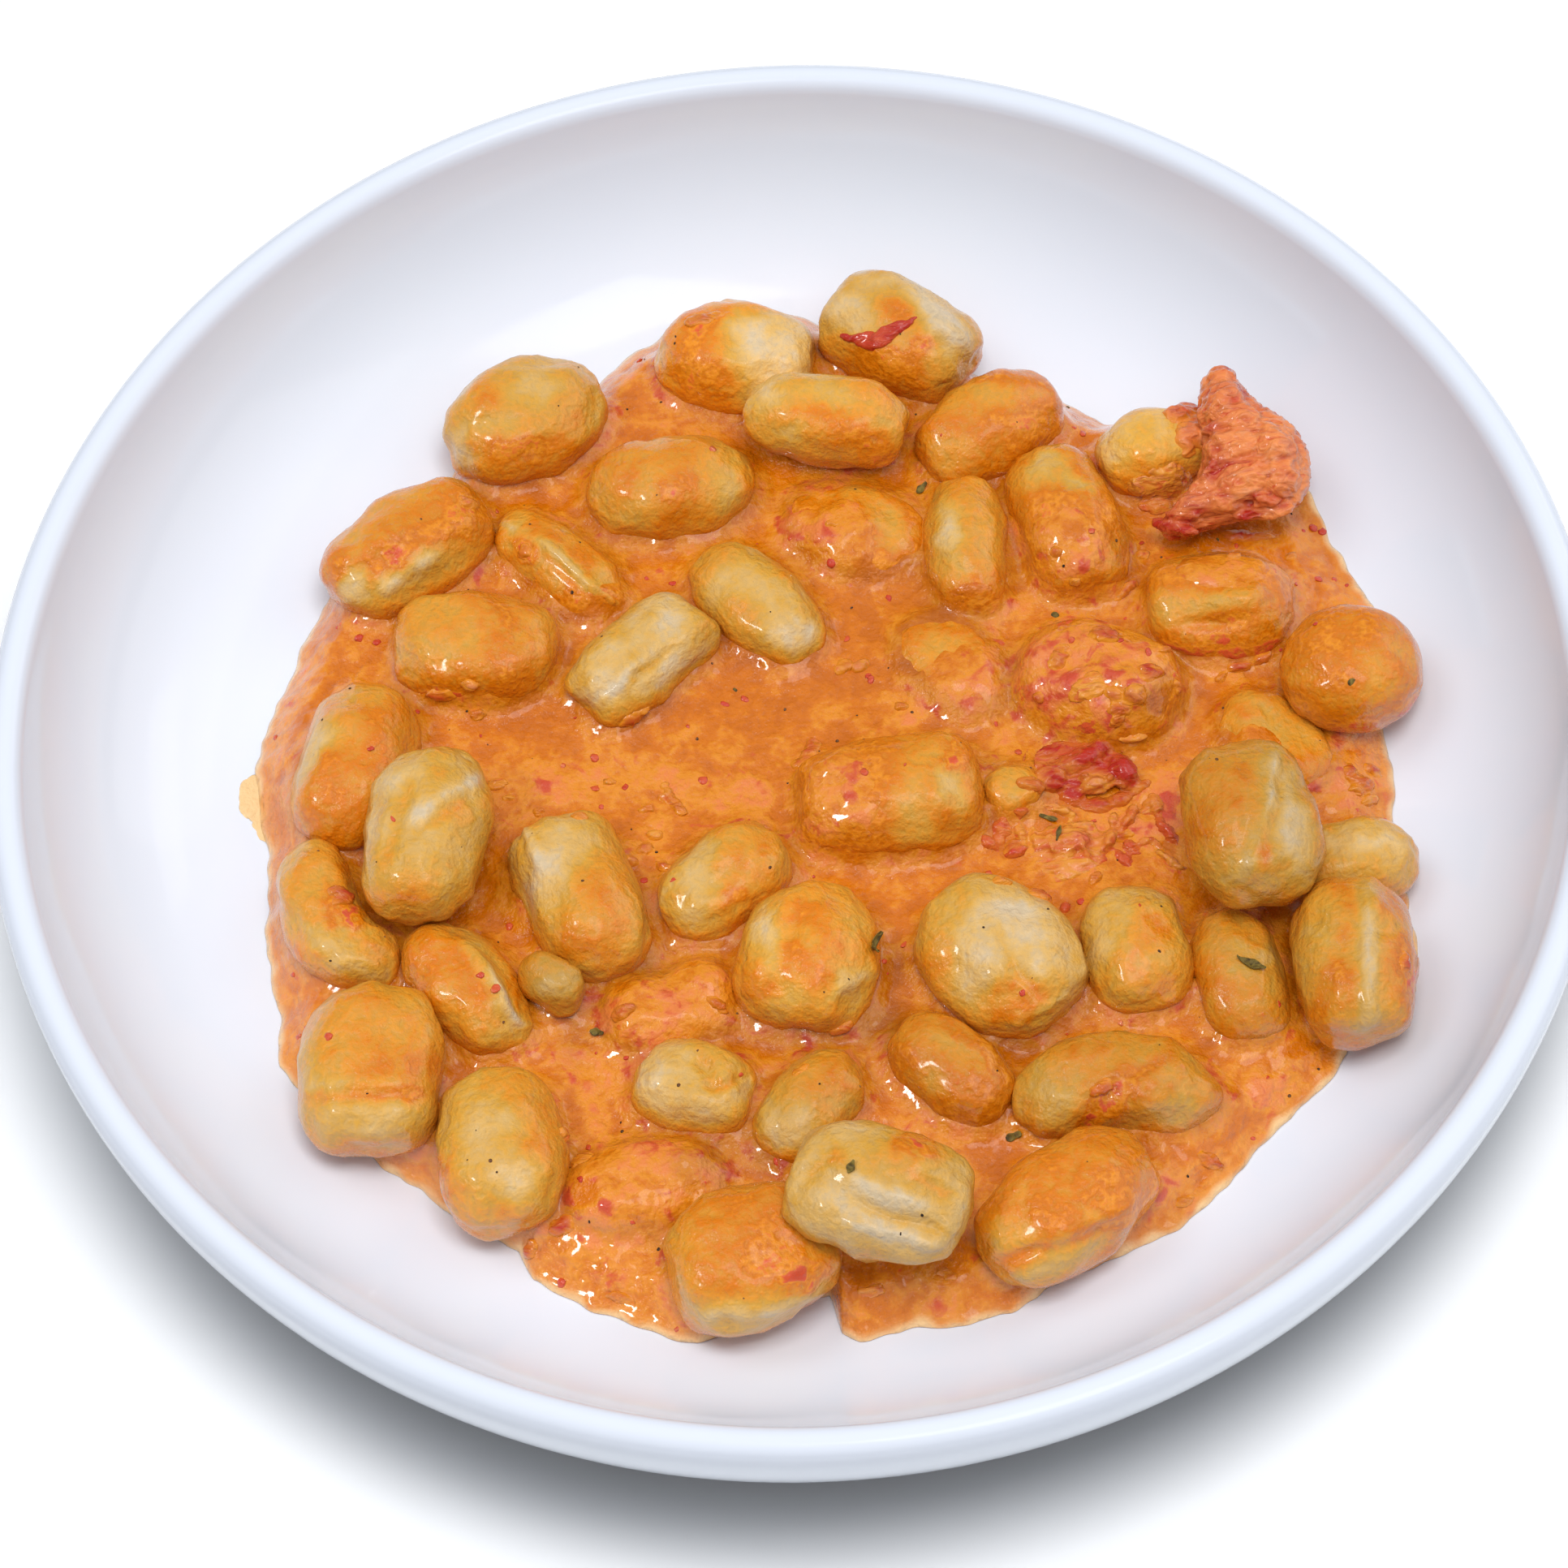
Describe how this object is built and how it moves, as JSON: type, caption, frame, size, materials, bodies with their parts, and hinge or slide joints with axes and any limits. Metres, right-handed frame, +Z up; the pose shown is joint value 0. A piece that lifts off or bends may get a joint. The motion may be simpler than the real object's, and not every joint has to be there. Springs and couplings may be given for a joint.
{
  "type": "potato gnocchi in a bowl",
  "caption": "Potato gnocchi in creamy tomato sauce with soft tomato pieces, served in a plain white coupe bowl.",
  "frame": {"origin": "middle of the foot ring, on the table", "axes": "+Z up through the bowl's axis; -Y towards the diner; +X to the diner's right"},
  "size_m": [0.26, 0.26, 0.042],
  "materials": {
    "white_glaze": "gloss",
    "tomato_cream_sauce": "gloss",
    "potato_dough": "satin",
    "tomato": "satin"
  },
  "bodies": {
    "root": {"bowl": "white_glaze", "sauce": "tomato_cream_sauce", "gnocco_01": "potato_dough", "gnocco_02": "potato_dough", "gnocco_03": "potato_dough", "gnocco_04": "potato_dough", "gnocco_05": "potato_dough", "gnocco_06": "potato_dough", "gnocco_07": "potato_dough", "gnocco_08": "potato_dough", "gnocco_09": "potato_dough", "gnocco_10": "potato_dough", "gnocco_11": "potato_dough", "gnocco_12": "potato_dough", "gnocco_13": "potato_dough", "gnocco_14": "potato_dough", "gnocco_15": "potato_dough", "gnocco_16": "potato_dough", "gnocco_17": "potato_dough", "gnocco_18": "potato_dough", "gnocco_19": "potato_dough", "gnocco_20": "potato_dough", "gnocco_21": "potato_dough", "gnocco_22": "potato_dough", "gnocco_23": "potato_dough", "gnocco_24": "potato_dough", "gnocco_25": "potato_dough", "gnocco_26": "potato_dough", "gnocco_27": "potato_dough", "gnocco_28": "potato_dough", "gnocco_29": "potato_dough", "gnocco_30": "potato_dough", "gnocco_31": "potato_dough", "gnocco_32": "potato_dough", "gnocco_33": "potato_dough", "gnocco_34": "potato_dough", "gnocco_35": "potato_dough", "gnocco_36": "potato_dough", "gnocco_37": "potato_dough", "gnocco_38": "potato_dough", "gnocco_39": "potato_dough", "gnocco_40": "potato_dough", "gnocco_41": "potato_dough", "gnocco_42": "potato_dough", "gnocco_43": "potato_dough", "gnocco_44": "potato_dough", "gnocco_45": "potato_dough", "gnocco_46": "potato_dough", "gnocco_47": "potato_dough", "tomato_slice": "tomato", "tomato_pulp": "tomato", "tomato_chunk": "tomato"}
  },
  "joints": []
}
